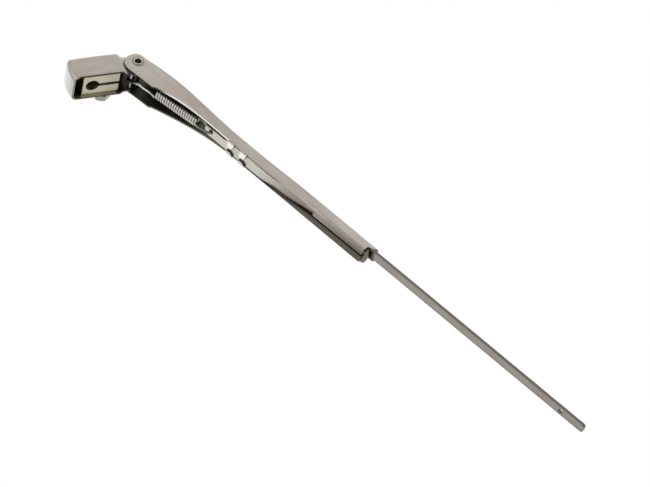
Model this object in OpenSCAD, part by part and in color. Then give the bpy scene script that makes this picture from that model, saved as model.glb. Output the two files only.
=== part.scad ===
// Sprung wiper arm in stainless sheet: a clamp head for a splined spindle, a folded channel
// that hinges on it, a hooked tension spring and a flat blade bar. Millimetres.
// Frame: origin on the spindle axis, in the mouth face of the clamp block. +X runs along the
// head towards the arm, +Z is the outer side, away from the windscreen.

/* [Head] */
// Outer width of the head shell
head_w = 15.7; // [14.8:0.1:18]
// Height of the head's outer face above the mouth of the clamp block
head_h = 11.8; // [11.2:0.1:13]
// Extra height at the middle of the head's slightly arched top
head_crown = 0.3; // [0.1:0.1:0.6]
// How far the shell's rim stands below the mouth of the clamp block
rim_drop = 0.8; // [0.4:0.1:1.5]
// Spindle axis to the outside of the closed end, at the rim
head_back = 9.9; // [9.5:0.1:12]
// How much further the closed end bulges out at mid height
head_bulge = 1; // [0.2:0.1:1.6]
// Radius along the outer edges of the head
head_edge_r = 1.8; // [1.5:0.1:2.4]
// Radius of the closed end's two upright corners
head_corner_r = 2.6; // [2:0.1:4]
// Thickness of the stainless sheet
sheet = 0.9; // [0.7:0.05:1.1]
// How far each side steps in to the tongue that sits between the arm's ears
step_in = 1.6; // [1.3:0.1:2]
// Spindle axis to the start of that step
step_x = 14.1; // [13.8:0.1:14.3]
// Length of the step
step_l = 2.4; // [2:0.1:2.4]
// Height of the tongue's top above the mouth of the clamp block
tongue_h = 10.6; // [10.2:0.1:10.8]
// Radius of the tongue's round nose about the hinge
nose_r = 3.7; // [3.4:0.1:3.8]

/* [Clamp] */
// Length of the clamp block
block_l = 17.9; // [16.5:0.1:17.9]
// Spindle axis to the block's closed end
block_back = 4.7; // [4.6:0.1:5.2]
// Bore for the splined spindle
spindle_d = 6.4; // [6:0.1:6.6]
// Number of serrations round the bore
serrations = 24; // [18:1:30]
// Depth of a serration
serration_depth = 0.3; // [0.2:0.05:0.35]
// Width of the clamping slot
slot_w = 0.9; // [0.6:0.1:1.4]
// Width of the shallow chamfer along the block's edge on the screw's side
block_chamfer = 1.9; // [1:0.1:2.4]
// Height of that chamfer, and size of the small one along the other edge
block_nick = 0.6; // [0.3:0.1:0.6]
// Diameter of the clamp screw's shank
screw_d = 4.8; // [4:0.1:4.8]
// Spindle axis to the screw's axis
screw_x = 6.4; // [6.4:0.1:7]
// Screw axis above the block's mouth
screw_z = 3.1; // [3.1:0.1:4]
// Hexagon of the screw across its flats
screw_af = 8; // [7:0.5:9]
// Height of the screw's head
screw_head_h = 3.4; // [3:0.1:4]
// Screw's end to the inner face of the shell's other side
screw_end_gap = 1.8; // [0.6:0.1:3]

/* [Hinge] */
// Spindle axis to the hinge, along the head
pivot_x = 23.5; // [23.5:0.1:25]
// Hinge above the mouth of the clamp block
pivot_z = 5.1; // [4.9:0.1:5.3]
// How far the arm is folded down from straight, as it rests unmounted
rest_fold = 62; // [54:1:66]
// Shank diameter of the tubular rivet
rivet_d = 4.4; // [4:0.1:4.6]
// Hollow of the tubular rivet
rivet_bore_d = 3.2; // [2.4:0.1:3.3]
// Diameter of the rivet's rolled flange
rivet_flange_d = 5.8; // [5.6:0.1:6.4]
// Height of that flange
rivet_flange_t = 0.45; // [0.3:0.05:0.6]
// Diameter of the pin that holds the spring's hook
hook_pin_d = 2.2; // [2:0.1:2.4]
// Hinge back to the hook pin
hook_back = 4; // [3.9:0.1:4.2]
// Hinge down to the hook pin
hook_down = 4.4; // [4.2:0.1:4.6]

/* [Arm channel] */
// Hinge to the end of the side walls at the mouth
channel_l = 147.4; // [140:0.5:160]
// How far the web runs on past the mouth
lip_l = 4.2; // [3:0.1:5]
// Narrowest outer width, where the tabs are
waist_w = 8.8; // [8.8:0.1:10]
// Outer width of the closed end part
mouth_w = 10.5; // [10.2:0.1:11.2]
// Hinge line to the outer face of the web, past the spring
web_far = 6.95; // [6.9:0.05:7.2]
// Hinge line to the walls' free edge, past the spring
edge_z = 0.8; // [0.5:0.1:1]
// Radius along the web's outer edges
web_edge_r = 1.5; // [1.2:0.1:1.9]
// Radius where the flanges fold in
flange_r = 1.5; // [1.2:0.1:1.7]
// Radius of the ears' round ends
ear_r = 6; // [5.8:0.1:6.1]
// Length of the deep walls beside the spring's hook
skirt_l = 16; // [15:0.1:17]
// Depth of those walls below the hinge line
skirt_depth = 6.3; // [5.9:0.1:6.6]
// Hinge to where the flange on the -Y side is full
flange_start = 116.3; // [114:0.1:120]
// Gap between the two folded flanges
seam_gap = 1; // [0.6:0.1:1.4]
// Sideways place of that gap where the flanges start and at the mouth
seam_y = [0, -0.5];
// Hinge to the start of the first and second pair of tabs
tab_starts = [60.9, 68.9];
// Length of a tab
tab_l = 3.9; // [3:0.1:4.5]
// Reach of the longer tabs, from the wall's outer face
long_reach = 3.9; // [3:0.1:4]
// Reach of the shorter tabs, from the wall's outer face
short_reach = 2.4; // [2:0.1:3.5]

/* [Strip, bar and spring] */
// Width of the anchor strip
strip_w = 6.4; // [5.5:0.1:6.6]
// Thickness of the anchor strip
strip_t = 1; // [0.8:0.05:1.1]
// Hinge to the strip's hooked end
strip_start = 45.9; // [45.5:0.1:46.5]
// Hole in the strip for the spring
strip_hole_d = 2.6; // [2.4:0.1:3]
// Width of the blade bar, the common bayonet size
bar_w = 5.2; // [4.8:0.1:5.4]
// Thickness of the blade bar
bar_t = 1.55; // [1.4:0.05:1.7]
// Hinge to the bar's tip
bar_tip = 279.2; // [240:0.5:330]
// Tip back to the bar's hole
bar_hole_back = 13.4; // [10:0.1:16]
// Hole in the bar for the blade's pin
bar_hole_d = 2.5; // [2:0.1:3]
// Outer diameter of the spring's coil
coil_d = 5.8; // [5.2:0.1:6]
// Diameter of the spring wire
wire_d = 1.2; // [1:0.05:1.25]
// Number of turns in the coil
turns = 18; // [14:1:19]

/* [Hidden] */
$fn = 40;
eps = 0.01;

// Fits between pieces
running = 0.05;
seat = 0.02;
side_gap = 0.15;

// Values that follow from the head
head_low = -rim_drop;
bulge_z = 5.5;
bulge_reach = 6.3;
step_end = step_x + step_l;
top_step_end = step_end + 1.2;
step_shift = 0.41;
arch_x = 4;
arch_span = 14;
tongue_w = head_w - 2 * step_in;
tongue_r = 1.6;
top_end_x = pivot_x - 4;
hook_x = pivot_x - hook_back;
hook_z = pivot_z - hook_down;
cheek_edge = 0.8;
cheek_far = pivot_x + 8;
block_half_w = head_w / 2 - sheet - running;
block_h = head_h - sheet - seat;
block_top_chamfer = 1.6;
screw_l = head_w - sheet - screw_end_gap;

// Values that follow from the arm
ear_w = tongue_w + 2 * (side_gap + sheet);
ear_centre = [0.5, -1.2];
ear_top = ear_centre[1] + ear_r;
web_rise = [ear_centre[0], 34];
web_power = 2.7;
web_cut = 3.2;
taper = [18, 64];
flare = [76, 108];
edge_curve = [skirt_l + 1, 64];
edge_power = 2.4;
corner_depth = skirt_depth - 0.9;
lip_low = [4, 5.2];
lip_far_y = 4;
lip_corner = 1.2;
relief = 0.8;
tab_slant = 1.4;
fold_start = tab_starts[1] + tab_l + 2.2;
near_fold = [flange_start - 24, flange_start - relief];
near_lean = [flange_start - 10, flange_start - relief];
far_fold = [fold_start + 1, flange_start - 12];
far_lean = [flange_start - 32, flange_start + 1];
rim_r = 0.12;
rim_lean = 1.1;
mouth_flare = [channel_l - 1.2, channel_l];
wall_floor = web_far - sheet;
mouth_in = mouth_w / 2 - sheet;
flange_in_r = flange_r - sheet;
bar_y = -mouth_in + bar_w / 2 + running;
bar_low = wall_floor - seat - bar_t;
bar_start = 118;
bar_edge = 0.35;
tip_r = 1.3;
strip_low = edge_z + seat;
strip_near_low = bar_low - seat - strip_t;
strip_far_low = edge_z + sheet + seat + 0.15 * flange_in_r;
strip_near_dip = [flange_start - 30, flange_start - 3];
strip_far_dip = [flange_start - 36, flange_start - 23];
strip_widening = [flange_start - 16, flange_start - 3];
strip_wide = mouth_in - flange_in_r / 2;
strip_end = channel_l + 2;
strip_end_r = 10.5;
strip_hole_c = strip_start + 3.8;

// Eased step from 0 to 1 while x goes from a[0] to a[1], and the same between two values
function ease(x, a) =
    let (t = max(0, min(1, (x - a[0]) / (a[1] - a[0])))) t * t * (3 - 2 * t);
function blend(x, a, from, to) = from + (to - from) * ease(x, a);

// Points of an arc round centre c, angles in degrees
function arc(c, r, from, to, steps = 5) =
    [for (i = [0:steps]) let (t = from + (to - from) * i / steps) c + r * [cos(t), sin(t)]];

// Even stations from a to b
function stations(a, b, steps) = [for (i = [0:steps]) a + (b - a) * i / steps];

// Closed solid through rings of equal even length, each counter-clockwise seen from its far
// side. The end faces are ladders of rungs from point i to point n - 1 - i
module loft(rings) {
    n = len(rings[0]);
    last = (len(rings) - 1) * n;
    sides = [for (k = [0:len(rings) - 2], i = [0:n - 1])
        let (a = k * n + i, b = k * n + (i + 1) % n)
        each [[a, b + n, b], [a, a + n, b + n]]];
    ladder = [for (i = [0:n / 2 - 2]) [i, i + 1, n - 2 - i, n - 1 - i]];
    last_ladder = [for (rung = ladder) [for (i = [3:-1:0]) last + rung[i]]];
    polyhedron([for (ring = rings) each ring], concat(ladder, sides, last_ladder));
}

function reverse(list) = [for (i = [len(list) - 1:-1:0]) list[i]];

// Puts [y, z] points in the plane at x
function at_x(x, points) = [for (p = points) [x, p[0], p[1]]];

// Places what is drawn in the arm's own frame: X along the arm, Z outwards, hinge at 0
module arm_frame() {
    translate([pivot_x, 0, pivot_z]) rotate([0, rest_fold, 0]) children();
}

// Extrudes an [x, z] outline along Y from y0 to y1
module across(y0, y1) {
    translate([0, y1, 0]) rotate([90, 0, 0]) linear_extrude(y1 - y0) children();
}

// Extrudes a [y, z] outline along X from x0 to x1
module along(x0, x1) {
    translate([x0, 0, 0]) rotate([90, 0, 90]) linear_extrude(x1 - x0) children();
}

// Cylinder along Y from y0 to y1 through [x, z]
module cross_pin(x, z, d, y0, y1) {
    translate([x, y1, z]) rotate([90, 0, 0]) cylinder(d = d, h = y1 - y0);
}

// Head shell: one pressing, open underneath, stepped in to a tongue for the hinge

function half_width(x) = blend(x, [step_x, step_end], head_w, tongue_w) / 2;

// Outline, seen from above, that rounds the closed end: its wall is at -back, moved inwards by
// d, and its sides spread clear of the shell's own
function end_plan(d, back) =
    let (w = head_w / 2 - d + seat, r = head_corner_r - d)
    concat([[cheek_far, w + 1], [0, w + 1]], arc([r - back, w - r], r, 90, 180),
           arc([r - back, r - w], r, 180, 270), [[0, -w - 1], [cheek_far, -w - 1]]);

// Reach of the bulging end wall at height z
function end_at(z) = head_back + head_bulge * (1 - ((z - bulge_z) / bulge_reach) ^ 2);

// Heights and reach of the end wall, moved inwards by d: bulged, then rounded into the top
function end_levels(d) =
    let (turn_z = head_h - head_edge_r, reach = end_at(turn_z) - head_edge_r,
         r = head_edge_r - d)
    concat([for (z = stations(head_low - 1, turn_z, 7)) [z, end_at(z) - d]],
           [for (a = [22.5:22.5:90]) [turn_z + r * sin(a), reach + r * cos(a)]],
           [[head_h + 2, reach]]);

module head_end(d) {
    loft([for (level = end_levels(d)) [for (p = end_plan(d, level[1])) [p[0], p[1], level[0]]]]);
}

// Height of the top at x: slightly arched, lower on the tongue
function top_at(x) =
    blend(x, [step_x, top_step_end], head_h + head_crown * (1 - ((x - arch_x) / arch_span) ^ 2),
          tongue_h);

// Section at x, moved inwards by d. The shift keeps the sheet's thickness on the slope of the step
function roof_section(x, d) =
    let (w = half_width(x + step_shift * d) - d, top = top_at(x) - d,
         r = max(blend(x, [step_x, step_end], head_edge_r, tongue_r) - d, 0.4))
    concat([[w, head_low - 2]], arc([w - r, top - r], r, 0, 90),
           arc([r - w, top - r], r, 90, 180), [[-w, head_low - 2]]);

module head_roof(d) {
    xs = concat(stations(-head_back - head_bulge - 1, step_x - step_shift * sheet, 7),
                stations(step_x + 0.3, top_step_end, 6), [cheek_far]);
    loft([for (x = xs) at_x(x, roof_section(x, d))]);
}

// Side view of the shell: the top stops short of the hinge, the cheeks run on round it
module head_side() {
    back = head_back + head_bulge + 1;
    translate([-back, head_low]) square([back + step_x, head_h + 4]);
    hull() {
        translate([step_x - 1, head_low]) square([1, head_h + 4]);
        translate([pivot_x, pivot_z]) circle(nose_r);
        translate([hook_x, hook_z]) circle(hook_pin_d / 2 + cheek_edge);
    }
}

module head_shell() {
    color([0.68, 0.66, 0.63])
    difference() {
        intersection() {
            head_end(0);
            head_roof(0);
            across(-head_w, head_w) head_side();
        }
        intersection() {
            head_end(sheet);
            head_roof(sheet);
        }
        translate([top_end_x, -head_w, pivot_z + nose_r]) cube([20, 2 * head_w, 10]);
        cross_pin(pivot_x, pivot_z, rivet_d + 2 * running, -head_w, head_w);
        cross_pin(hook_x, hook_z, hook_pin_d + 2 * seat, -head_w, head_w);
        cross_pin(screw_x, screw_z, screw_d + 2 * running, 0, head_w);
    }
}

// Clamp block: bored and serrated for the spindle, split so the screw can close it

module block_section() {
    w = block_half_w;
    t = block_top_chamfer;
    polygon([[-w + block_nick, 0], [w - block_chamfer, 0], [w, block_nick],
             [w, block_h - t], [w - t, block_h], [-w + t, block_h], [-w, block_h - t],
             [-w, block_nick]]);
}

module clamp_block() {
    r = spindle_d / 2;
    color([0.66, 0.65, 0.57])
    difference() {
        along(-block_back, block_l - block_back) block_section();
        translate([0, 0, -1]) cylinder(r = r, h = block_h + 2);
        translate([0, 0, -1]) linear_extrude(block_h + 2) {
            for (i = [0:serrations - 1]) rotate((i + 0.5) * 360 / serrations)
                polygon([[r - 0.1, -0.2], [r + serration_depth, 0], [r - 0.1, 0.2]]);
            translate([0, -slot_w / 2]) square([block_l, slot_w]);
        }
        cross_pin(screw_x, screw_z, screw_d + 2 * running, -head_w, head_w);
    }
}

// Clamp screw: hexagon head outside the shell, shank across the slot

module clamp_screw() {
    corner_cut = 0.5;
    color([0.72, 0.72, 0.7])
    translate([screw_x, head_w / 2 + running, screw_z]) rotate([-90, 0, 0]) {
        translate([0, 0, -screw_l]) cylinder(d = screw_d, h = screw_l + 1);
        intersection() {
            cylinder(d = screw_af / cos(30), h = screw_head_h, $fn = 6);
            union() {
                cylinder(d = screw_af * 1.16, h = screw_head_h - corner_cut);
                translate([0, 0, screw_head_h - corner_cut])
                    cylinder(d1 = screw_af * 1.16, d2 = screw_af * 0.94, h = corner_cut);
            }
        }
    }
}

// Pivot rivet: tubular, rolled over outside both ears

module pivot_rivet() {
    seat_y = ear_w / 2 + seat;
    end_y = seat_y + rivet_flange_t;
    shank = rivet_d / 2;
    bore = rivet_bore_d / 2;
    flange = rivet_flange_d / 2;
    half = [[shank, seat_y], [flange, seat_y], [flange, end_y - 0.2], [flange - 0.3, end_y],
            [bore + 0.3, end_y], [bore, end_y - 0.3]];
    color([0.62, 0.6, 0.57])
    translate([pivot_x, 0, pivot_z]) rotate([90, 0, 0]) rotate_extrude()
        polygon(concat(half, [for (i = [5:-1:0]) [half[i][0], -half[i][1]]]));
}

// Hook pin: pressed through the cheeks of the tongue

module hook_pin() {
    color([0.6, 0.6, 0.58])
    cross_pin(hook_x, hook_z, hook_pin_d, -tongue_w / 2, tongue_w / 2);
}

// Arm channel: one folded strip of sheet, in the arm's own frame

function width_at(c) = c < (taper[1] + flare[0]) / 2 ? blend(c, taper, ear_w, waist_w)
                                                      : blend(c, flare, waist_w, mouth_w);
function wall_in(c) = width_at(c) / 2 - sheet;
function web_at(c) =
    let (t = max(0, min(1, (c - web_rise[0]) / (web_rise[1] - web_rise[0]))))
    web_far - (web_far - ear_top) * (1 - t) ^ web_power;
function edge_at(c) =
    let (t = min(1, (c - edge_curve[0]) / (edge_curve[1] - edge_curve[0])))
    edge_z - (edge_z + corner_depth) * (1 - t) ^ edge_power;

// Middle and half width of the seam at c
function seam_at(c) =
    seam_y[0] + (seam_y[1] - seam_y[0]) * (c - flange_start) / (channel_l - flange_start);
function seam_half(c) = seam_gap / 2 * (1 + ease(c, mouth_flare) / 2);

// Distance from the arm's middle to the free edge of the flange or rim on each side at c
function near_tip(c) =
    c < flange_start ? blend(c, near_lean, wall_in(c), wall_in(c) - rim_lean)
                     : seam_half(c) - seam_at(c);
function far_tip(c) = blend(c, far_lean, wall_in(c), seam_at(c) + seam_half(c));

// One face of the sheet: from the far flange's tip up, across the web and down to the near tip
function sheet_face(w, top, low, web_r, near_r, far_r, near, far) =
    concat([[far, low]], arc([w - far_r, low + far_r], far_r, -90, 0, 4),
           arc([w - web_r, top - web_r], web_r, 0, 90, 4),
           arc([web_r - w, top - web_r], web_r, 90, 180, 4),
           arc([near_r - w, low + near_r], near_r, 180, 270, 4), [[-near, low]]);

// Section at c: a C of sheet, its walls standing straight down until the flanges fold in
function channel_section(c) =
    let (w = width_at(c) / 2, top = web_at(c), low = c < fold_start ? -10 : edge_z,
         near_r = blend(c, near_fold, rim_r, flange_r), near_in = max(near_r - sheet, 0.08),
         far_r = blend(c, far_fold, rim_r, flange_r), far_in = max(far_r - sheet, 0.08),
         near = min(near_tip(c), w - sheet - near_in - seat),
         far = min(far_tip(c), w - sheet - far_in - seat))
    concat(sheet_face(w, top, low, web_edge_r, near_r, far_r, near, far),
           reverse(sheet_face(w - sheet, top - sheet, low + sheet, web_edge_r - sheet,
                              near_in, far_in, near, far)));

module channel_loft(from, to) {
    cs = concat([from], stations(web_rise[0], taper[0], 4), stations(taper[0] + 4, taper[1], 11),
                [fold_start - eps, fold_start], stations(fold_start + 3, near_lean[0], 8),
                stations(near_lean[0] + 3, near_lean[1], 3), [flange_start, flange_start + 6],
                mouth_flare, [to]);
    loft([for (c = cs) at_x(c, channel_section(c))]);
}

// Side view of the channel: round ears, deep skirts, a curve up to the free edge, the lip
module channel_side() {
    end = channel_l + lip_l;
    translate(ear_centre) circle(ear_r);
    polygon(concat(
        [ear_centre, [ear_centre[0], 20], [end, 20], [end, lip_low[1]], [channel_l, lip_low[0]],
         [channel_l, -1], [fold_start, -1], [fold_start, edge_z]],
        [for (c = stations(edge_curve[1], edge_curve[0], 14)) [c, edge_at(c)]],
        [[skirt_l, -skirt_depth], [8, -skirt_depth - 0.4], ear_centre + ear_r * [0.08, -1]]));
}

// One tab folded over the strip from the wall on the -Y side
module tab(c, reach) {
    w = width_at(c + tab_l / 2) / 2 - eps;
    low = edge_z - sheet;
    difference() {
        along(c, c + tab_l)
            polygon(concat([[-w, edge_z + 0.6]], arc([-w + sheet, edge_z], sheet, 180, 270, 4),
                           [[reach - w, low], [reach - w, edge_z], [sheet - w, edge_z],
                            [sheet - w, edge_z + 0.6]]));
        translate([0, 0, low - 1]) linear_extrude(sheet + 1 + eps)
            polygon([[c + tab_l - tab_slant, reach - w + eps], [c + tab_l + eps, 1.1 - w],
                     [c + tab_l + 1, reach - w + eps]]);
    }
}

module arm_channel() {
    end = channel_l + lip_l;
    side = mouth_w / 2;
    flange_cut_h = edge_z + sheet + 1.5;
    color([0.7, 0.67, 0.64])
    arm_frame()
    difference() {
        union() {
            intersection() {
                channel_loft(-8, end);
                across(-20, 20) channel_side();
            }
            for (c = tab_starts) {
                tab(c, long_reach);
                mirror([0, 1, 0]) tab(c, short_reach);
            }
        }
        // The web starts a little way past the ears' tops
        translate([-10, -wall_in(0) - running, ear_top - 2 * sheet])
            cube([web_cut + 10, 2 * (wall_in(0) + running), 20]);
        // Notch where the flange on the -Y side starts
        translate([flange_start - relief, rim_lean - wall_in(flange_start) - relief, -1])
            cube([relief, 2 * relief, flange_cut_h]);
        // Ends of the two flanges, a little askew
        translate([0, 0, -1]) linear_extrude(flange_cut_h)
            polygon([[channel_l + eps, -side - 1], [channel_l - 0.5, seam_y[1]],
                     [channel_l - 1, side - sheet], [channel_l - 1, side + 1], [end + 1, side + 1],
                     [end + 1, -side - 1]]);
        // Far side and corners of the lip
        translate([channel_l, lip_far_y, -1]) cube([20, 10, 20]);
        translate([0, 0, -1]) linear_extrude(20) {
            polygon([[end - lip_corner, -side - eps], [end + 1, -side - eps],
                     [end + 1, lip_corner - side], [end + eps, lip_corner - side]]);
            polygon([[end - lip_corner, lip_far_y + eps], [end + 1, lip_far_y + eps],
                     [end + 1, lip_far_y - lip_corner], [end + eps, lip_far_y - lip_corner]]);
        }
        cross_pin(0, 0, rivet_d + 2 * seat, -20, 20);
    }
}

// Anchor strip: flat between the walls, then down onto the blade bar, where it lies tilted

function strip_section(half_w, near_low, far_low) =
    [[half_w, far_low], [half_w, far_low + strip_t], [-half_w, near_low + strip_t],
     [-half_w, near_low]];
function strip_ring(c) =
    at_x(c, strip_section(blend(c, strip_widening, strip_w / 2, strip_wide),
                          blend(c, strip_near_dip, strip_low, strip_near_low),
                          blend(c, strip_far_dip, strip_low, strip_far_low)));

// Height of the strip's underside at y in the closed part
function tilted_low(y) =
    (strip_near_low + strip_far_low) / 2 + (strip_far_low - strip_near_low) * y / (2 * strip_wide);

module anchor_strip() {
    bevel = 0.6;
    start = at_x(strip_start, strip_section(strip_w / 2 - bevel, strip_low, strip_low));
    body = [for (c = concat([strip_start + bevel],
                            stations(strip_far_dip[0], strip_near_dip[1], 14))) strip_ring(c)];
    end = [for (share = [1, 0.8, 0.55, 0.25]) let (y = share * strip_wide)
        at_x(strip_end - strip_end_r + sqrt(strip_end_r ^ 2 - y ^ 2),
             strip_section(y, tilted_low(-y), tilted_low(y)))];
    color([0.78, 0.78, 0.74])
    arm_frame()
    difference() {
        loft(concat([start], body, end));
        translate([strip_hole_c, 0, 0]) cylinder(d = strip_hole_d, h = 4);
    }
}

// Blade bar: flat steel with bevelled edges, gripped in the channel's mouth

function bar_section(half_w) =
    let (b = bar_edge, t = bar_t, w = half_w)
    [[w - b, 0], [w, b], [w, t - b], [w - b, t], [b - w, t], [-w, t - b], [-w, b], [b - w, 0]];

module blade_bar() {
    w = bar_w / 2;
    tip = [for (a = [0:18:90]) at_x(bar_tip - tip_r * (1 - sin(a)),
                                    bar_section(w - tip_r * (1 - cos(a))))];
    color([0.59, 0.57, 0.53])
    arm_frame()
    translate([0, bar_y, bar_low])
    difference() {
        loft(concat([at_x(bar_start, bar_section(w))], tip));
        translate([bar_tip - bar_hole_back, 0, -1]) cylinder(d = bar_hole_d, h = bar_t + 2);
    }
}

// Tension spring: hook round the pin, close coil, tail through the strip's hole

hook_pin_at = [-hook_back * cos(rest_fold) + hook_down * sin(rest_fold), 0,
               -hook_back * sin(rest_fold) - hook_down * cos(rest_fold)];
hook_r = (hook_pin_d + wire_d) / 2 + running;
coil_r = (coil_d - wire_d) / 2;
coil_from = [strip_start - 29.9, 0, edge_z - 2.65];
coil_to = [strip_start - 5, 0, edge_z];
coil_axis = (coil_to - coil_from) / norm(coil_to - coil_from);
coil_up = [-coil_axis[2], 0, coil_axis[0]];
turn_steps = 14;
wire_sides = 8;

function hook_point(a) = hook_pin_at + hook_r * [cos(a), 0, sin(a)];
function coil_point(turn) =
    coil_from + turn / turns * (coil_to - coil_from)
    + coil_r * (sin(360 * turn) * [0, 1, 0] - cos(360 * turn) * coil_up);

// Place on the straight shank, from the hook pin's middle to the underside of the coil
function shank_point(share) = hook_pin_at + share * (coil_point(0) - hook_pin_at);

// Place beside the strip's hole, along the arm and outwards, in wire diameters
function tail_point(along, out) =
    [strip_hole_c + along * wire_d, 0, strip_low + out * wire_d];

// Curve through four points, t from 0 to 1 between b and c
function through(a, b, c, d, t) =
    0.5 * (2 * b + (c - a) * t + (2 * a - 5 * b + 4 * c - d) * t ^ 2
           + (3 * b - a - 3 * c + d) * t ^ 3);
function smooth(p, steps) =
    [for (k = [1:len(p) - 3], i = [0:steps - 1]) through(p[k - 1], p[k], p[k + 1], p[k + 2],
                                                        i / steps)];

wire_path = let (
    hook = [for (a = [40:25:265]) hook_point(a)],
    shank = smooth([hook_point(265), hook_point(290), shank_point(0.3), shank_point(0.55),
                    shank_point(0.85), coil_point(0.1), coil_point(0.2)], 4),
    coil = [for (i = [0:(turns - 0.2) * turn_steps]) coil_point(0.1 + i / turn_steps)],
    tail = smooth([coil[len(coil) - 1], coil_point(turns), tail_point(-5.4, -2.2),
                   tail_point(-2.7, -1.7), tail_point(-0.6, -1.1), tail_point(0, 0.2),
                   tail_point(-0.4, 1.5), tail_point(-2.1, 1.9), tail_point(-3.6, 1.7)], 4))
    concat(hook, shank, coil, tail);

module tension_spring() {
    n = len(wire_path);
    tangent = [for (i = [0:n - 1])
        let (d = wire_path[min(i + 1, n - 1)] - wire_path[max(i - 1, 0)]) d / norm(d)];
    normals = [for (i = 0, v = [0, 1, 0]; i < n;
                    i = i + 1, u = i < n ? v - (v * tangent[i]) * tangent[i] : v, v = u / norm(u)) v];
    rings = [for (i = [0:n - 1]) let (u = normals[i], w = cross(tangent[i], u))
        [for (k = [0:wire_sides - 1]) wire_path[i]
            + wire_d / 2 * (cos(360 * k / wire_sides) * u + sin(360 * k / wire_sides) * w)]];
    color([0.74, 0.74, 0.72])
    arm_frame() loft(rings);
}

head_shell();
clamp_block();
clamp_screw();
pivot_rivet();
hook_pin();
arm_channel();
anchor_strip();
blade_bar();
tension_spring();
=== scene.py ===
"""A sprung windscreen wiper arm in stainless sheet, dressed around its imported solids.

Metres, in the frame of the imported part: origin on the spindle's axis in the mouth of the clamp
block, +X along the head towards the arm, +Z away from the windscreen.
"""

import math

import bmesh
import bpy
from mathutils import Matrix, Vector
from mathutils.bvhtree import BVHTree


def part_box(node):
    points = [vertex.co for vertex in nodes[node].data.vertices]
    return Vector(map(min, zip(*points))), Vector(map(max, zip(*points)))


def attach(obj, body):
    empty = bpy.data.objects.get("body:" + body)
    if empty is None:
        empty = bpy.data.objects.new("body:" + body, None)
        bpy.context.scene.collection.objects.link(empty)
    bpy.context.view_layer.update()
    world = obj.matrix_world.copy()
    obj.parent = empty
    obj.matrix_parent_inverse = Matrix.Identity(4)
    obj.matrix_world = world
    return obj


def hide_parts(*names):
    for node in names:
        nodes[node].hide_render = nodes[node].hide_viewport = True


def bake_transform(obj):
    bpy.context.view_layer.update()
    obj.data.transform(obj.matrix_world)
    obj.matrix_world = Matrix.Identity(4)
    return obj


MM = 0.001

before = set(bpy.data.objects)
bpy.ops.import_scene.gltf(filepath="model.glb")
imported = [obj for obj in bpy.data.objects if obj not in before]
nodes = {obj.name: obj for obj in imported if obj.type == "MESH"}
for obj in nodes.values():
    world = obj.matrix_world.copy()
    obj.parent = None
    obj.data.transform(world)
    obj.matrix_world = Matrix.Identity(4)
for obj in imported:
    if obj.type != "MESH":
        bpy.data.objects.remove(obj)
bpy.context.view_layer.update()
scene = bpy.context.scene
scene.view_settings.view_transform = "Standard"

# Camera
# It stands low on the near side and looks up at the underside of the arm, as the photograph does.
# Its place, its turn in degrees and its lens come from edges and circles of known size in the picture.
CAMERA_PLACE = Vector((-356.02, -946.18, -820.87)) * MM
CAMERA_TURN = (126.466, 19.061, -11.132)
SENSOR_WIDTH_MM = 36.0
LENS_MM = 150.97

camera_data = bpy.data.cameras.new("camera")
camera_data.sensor_fit = "HORIZONTAL"
camera_data.sensor_width = SENSOR_WIDTH_MM
camera_data.lens = LENS_MM
camera_data.clip_start = 0.05
camera_data.clip_end = 60
camera = bpy.data.objects.new("camera", camera_data)
camera.location = CAMERA_PLACE
camera.rotation_euler = [math.radians(angle) for angle in CAMERA_TURN]
scene.collection.objects.link(camera)
scene.camera = camera

# Floor, backdrop and lamps
# A pale floor lies far below the part and below every camera. The world is plain white to the
# camera and in reflections, and gives a softer light. Four broad lamps shape the metal.
FLOOR_BELOW = -1.9
FLOOR_HALF = 12.0
FLOOR_COLOUR = (0.82, 0.82, 0.81, 1)
FLOOR_PALE = (0.96, 0.96, 0.95, 1)
FLOOR_ROUGHNESS = 0.9
FLOOR_GLOW = 0.7
WORLD_FILL = 0.45

floor_mesh = bpy.data.meshes.new("floor")
floor_mesh.from_pydata(
    [(x * FLOOR_HALF, y * FLOOR_HALF, FLOOR_BELOW) for x, y in ((-1, -1), (1, -1), (1, 1), (-1, 1))],
    [], [(0, 1, 2, 3)])
floor = bpy.data.objects.new("floor", floor_mesh)
scene.collection.objects.link(floor)


def seen_amount(tree, otherwise, seen):
    """One number for rays that light the part, and another for the camera's and mirrored rays."""
    path = tree.nodes.new("ShaderNodeLightPath")
    share = path.outputs["Is Camera Ray"]
    for ray in ("Is Glossy Ray", "Is Transmission Ray"):
        either = tree.nodes.new("ShaderNodeMath")
        either.operation = "MAXIMUM"
        tree.links.new(share, either.inputs[0])
        tree.links.new(path.outputs[ray], either.inputs[1])
        share = either.outputs[0]
    amount = tree.nodes.new("ShaderNodeMapRange")
    amount.inputs["To Min"].default_value = otherwise
    amount.inputs["To Max"].default_value = seen
    tree.links.new(share, amount.inputs["Value"])
    return amount.outputs[0]


floor_finish = bpy.data.materials.new("pale_floor")
floor_finish.use_nodes = True
floor_tree = floor_finish.node_tree
matt = floor_tree.nodes["Principled BSDF"]
matt.inputs["Base Color"].default_value = FLOOR_COLOUR
matt.inputs["Roughness"].default_value = FLOOR_ROUGHNESS
pale = floor_tree.nodes.new("ShaderNodeEmission")
pale.inputs["Color"].default_value = FLOOR_PALE
both = floor_tree.nodes.new("ShaderNodeMixShader")
floor_tree.links.new(seen_amount(floor_tree, 0.0, FLOOR_GLOW), both.inputs["Fac"])
floor_tree.links.new(matt.outputs[0], both.inputs[1])
floor_tree.links.new(pale.outputs[0], both.inputs[2])
floor_tree.links.new(both.outputs[0], floor_tree.nodes["Material Output"].inputs["Surface"])
floor_mesh.materials.append(floor_finish)

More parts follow.
